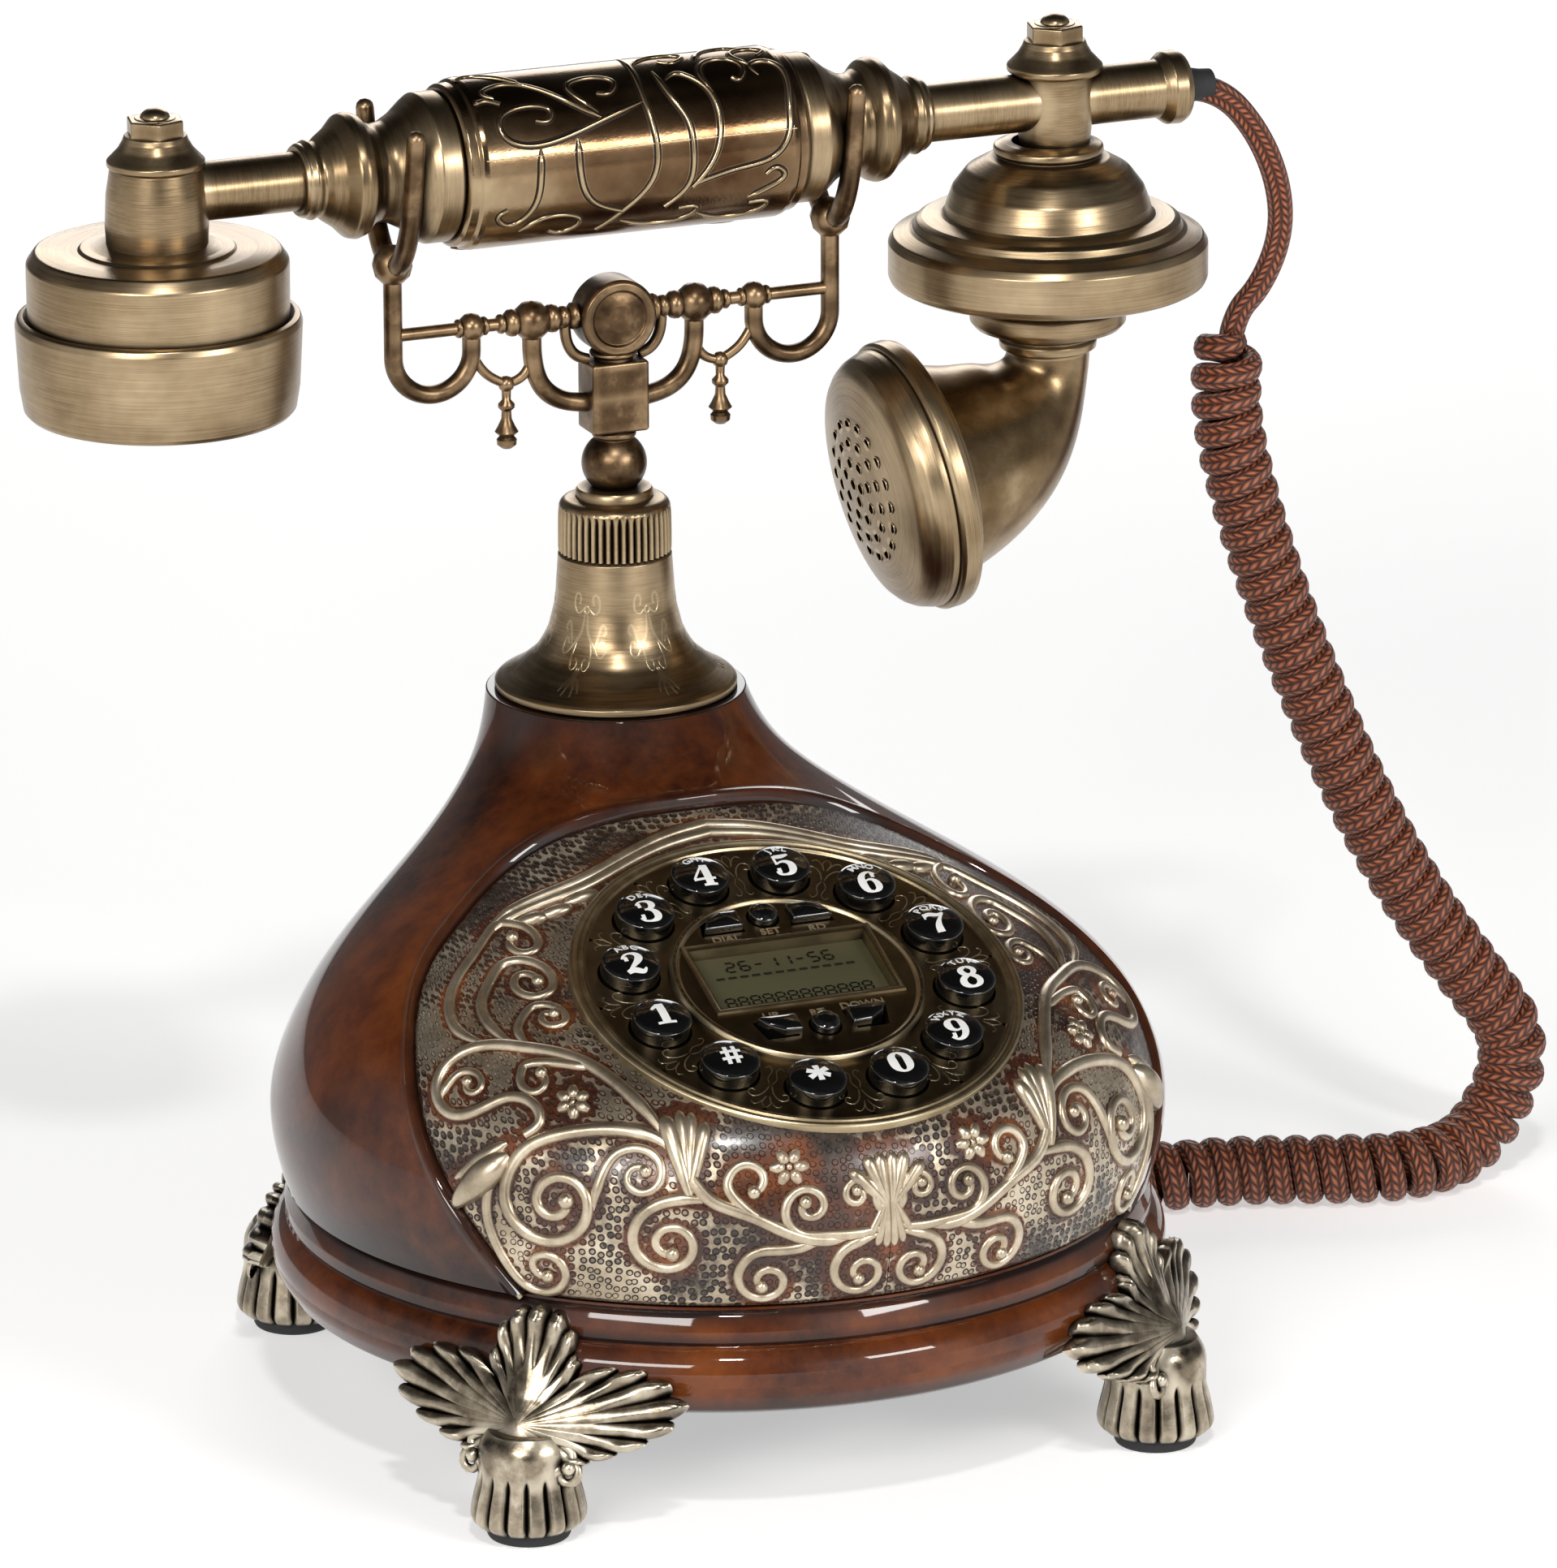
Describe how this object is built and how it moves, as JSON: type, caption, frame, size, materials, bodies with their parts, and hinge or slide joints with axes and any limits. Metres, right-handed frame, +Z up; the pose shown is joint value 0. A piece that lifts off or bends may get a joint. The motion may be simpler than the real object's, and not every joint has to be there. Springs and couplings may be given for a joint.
{
  "type": "push-button telephone",
  "caption": "Antique-style desk telephone: round lacquered base on claw feet, tilted ring of push buttons round a display, and a brass handset with a horn mouthpiece on a forked cradle.",
  "frame": {"origin": "on the table, under the middle of the telephone's box without its cord", "axes": "+Z up, -Y towards the caller (the dial's side), +X towards the mouthpiece"},
  "size_m": [0.3738, 0.2539, 0.2921],
  "materials": {
    "lacquered_wood": "brown burl lacquer shading to near black at its edges, high gloss",
    "silvered_relief": "worn champagne silver leaf over brown glaze, gloss",
    "antique_silver": "bright worn silver with black patina in the hollows",
    "antique_brass": "circular brushed antique brass under clear lacquer",
    "red_bronze": "polished reddish bronze with raised vines",
    "dark_bronze": "dark worn bronze, satin",
    "dial_bronze": "dark bronze with bright rims, satin",
    "black_gloss": "glossy black with white printing",
    "display_glass": "dark olive liquid crystal display",
    "steel": "zinc plated",
    "black_rubber": "matt",
    "black_plastic": "moulded",
    "circuit_board": "green solder mask",
    "braided_cord": "reddish brown twisted braid",
    "clear_plug": "brown translucent"
  },
  "bodies": {
    "base": {"plinth": "lacquered_wood", "base_plate": "black_plastic", "base_screws": "steel", "feet": "antique_silver", "foot_pads": "black_rubber", "body_shell": "lacquered_wood", "front_panel": "silvered_relief", "dial_plate": "dial_bronze", "display_bezel": "dial_bronze", "lcd_module": "display_glass", "key_membrane": "black_rubber", "keypad_board": "circuit_board", "main_board": "circuit_board", "ballast_weight": "steel", "ringer_speaker": "black_plastic", "hook_switch": "black_plastic", "return_spring": "steel", "rear_jacks": "black_plastic", "bell_collar": "antique_brass", "knurled_nut": "antique_brass", "cord_lead": "braided_cord", "cord_coil": "braided_cord", "cord_tail": "braided_cord", "cord_plug": "clear_plug"},
    "cradle": {"cradle_post": "dark_bronze", "cradle_head": "dark_bronze", "yoke_left": "dark_bronze", "yoke_right": "dark_bronze", "scrollwork": "dark_bronze"},
    "handset": {"handset_tube": "antique_brass", "grip_sleeve": "red_bronze", "bell_left": "antique_brass", "bell_right": "antique_brass", "ear_elbow": "antique_brass", "earpiece_can": "antique_brass", "earpiece_cap": "antique_brass", "receiver_capsule": "black_plastic", "mouth_elbow": "antique_brass", "transmitter_dome": "antique_brass", "horn": "antique_brass", "mouthpiece_cap": "antique_brass", "microphone_capsule": "black_plastic"},
    "key_1": {"key_1": "black_gloss"},
    "key_2": {"key_2": "black_gloss"},
    "key_3": {"key_3": "black_gloss"},
    "key_4": {"key_4": "black_gloss"},
    "key_5": {"key_5": "black_gloss"},
    "key_6": {"key_6": "black_gloss"},
    "key_7": {"key_7": "black_gloss"},
    "key_8": {"key_8": "black_gloss"},
    "key_9": {"key_9": "black_gloss"},
    "key_star": {"key_star": "black_gloss"},
    "key_0": {"key_0": "black_gloss"},
    "key_hash": {"key_hash": "black_gloss"},
    "function_key_a": {"function_key_a": "black_gloss"},
    "function_key_b": {"function_key_b": "black_gloss"},
    "function_key_c": {"function_key_c": "black_gloss"},
    "function_key_d": {"function_key_d": "black_gloss"},
    "function_key_e": {"function_key_e": "black_gloss"},
    "function_key_f": {"function_key_f": "black_gloss"}
  },
  "joints": [
    {"name": "handset_lift", "type": "slide", "parent": "base", "child": "handset", "axis": [0, 0, 1], "range_m": [0, 0.08]},
    {"name": "cradle_rise", "type": "slide", "parent": "base", "child": "cradle", "axis": [0, 0, 1], "range_m": [0, 0.005], "deforming": ["return_spring"]},
    {"name": "key_1_press", "type": "slide", "parent": "base", "child": "key_1", "axis": [0, 0.3616, -0.9323], "range_m": [0, 0.0015], "stiffness_N_per_m": 250, "springref_m": -0.001},
    {"name": "key_2_press", "type": "slide", "parent": "base", "child": "key_2", "axis": [0, 0.3616, -0.9323], "range_m": [0, 0.0015], "stiffness_N_per_m": 250, "springref_m": -0.001},
    {"name": "key_3_press", "type": "slide", "parent": "base", "child": "key_3", "axis": [0, 0.3616, -0.9323], "range_m": [0, 0.0015], "stiffness_N_per_m": 250, "springref_m": -0.001},
    {"name": "key_4_press", "type": "slide", "parent": "base", "child": "key_4", "axis": [0, 0.3616, -0.9323], "range_m": [0, 0.0015], "stiffness_N_per_m": 250, "springref_m": -0.001},
    {"name": "key_5_press", "type": "slide", "parent": "base", "child": "key_5", "axis": [0, 0.3616, -0.9323], "range_m": [0, 0.0015], "stiffness_N_per_m": 250, "springref_m": -0.001},
    {"name": "key_6_press", "type": "slide", "parent": "base", "child": "key_6", "axis": [0, 0.3616, -0.9323], "range_m": [0, 0.0015], "stiffness_N_per_m": 250, "springref_m": -0.001},
    {"name": "key_7_press", "type": "slide", "parent": "base", "child": "key_7", "axis": [0, 0.3616, -0.9323], "range_m": [0, 0.0015], "stiffness_N_per_m": 250, "springref_m": -0.001},
    {"name": "key_8_press", "type": "slide", "parent": "base", "child": "key_8", "axis": [0, 0.3616, -0.9323], "range_m": [0, 0.0015], "stiffness_N_per_m": 250, "springref_m": -0.001},
    {"name": "key_9_press", "type": "slide", "parent": "base", "child": "key_9", "axis": [0, 0.3616, -0.9323], "range_m": [0, 0.0015], "stiffness_N_per_m": 250, "springref_m": -0.001},
    {"name": "key_star_press", "type": "slide", "parent": "base", "child": "key_star", "axis": [0, 0.3616, -0.9323], "range_m": [0, 0.0015], "stiffness_N_per_m": 250, "springref_m": -0.001},
    {"name": "key_0_press", "type": "slide", "parent": "base", "child": "key_0", "axis": [0, 0.3616, -0.9323], "range_m": [0, 0.0015], "stiffness_N_per_m": 250, "springref_m": -0.001},
    {"name": "key_hash_press", "type": "slide", "parent": "base", "child": "key_hash", "axis": [0, 0.3616, -0.9323], "range_m": [0, 0.0015], "stiffness_N_per_m": 250, "springref_m": -0.001},
    {"name": "function_key_a_press", "type": "slide", "parent": "base", "child": "function_key_a", "axis": [0, 0.3616, -0.9323], "range_m": [0, 0.0012], "stiffness_N_per_m": 250, "springref_m": -0.001},
    {"name": "function_key_b_press", "type": "slide", "parent": "base", "child": "function_key_b", "axis": [0, 0.3616, -0.9323], "range_m": [0, 0.0012], "stiffness_N_per_m": 250, "springref_m": -0.001},
    {"name": "function_key_c_press", "type": "slide", "parent": "base", "child": "function_key_c", "axis": [0, 0.3616, -0.9323], "range_m": [0, 0.0012], "stiffness_N_per_m": 250, "springref_m": -0.001},
    {"name": "function_key_d_press", "type": "slide", "parent": "base", "child": "function_key_d", "axis": [0, 0.3616, -0.9323], "range_m": [0, 0.0012], "stiffness_N_per_m": 250, "springref_m": -0.001},
    {"name": "function_key_e_press", "type": "slide", "parent": "base", "child": "function_key_e", "axis": [0, 0.3616, -0.9323], "range_m": [0, 0.0012], "stiffness_N_per_m": 250, "springref_m": -0.001},
    {"name": "function_key_f_press", "type": "slide", "parent": "base", "child": "function_key_f", "axis": [0, 0.3616, -0.9323], "range_m": [0, 0.0012], "stiffness_N_per_m": 250, "springref_m": -0.001}
  ],
  "couplings": [
    {"joint": "cradle_rise", "follows": "handset_lift", "ratio": 0.0625}
  ]
}
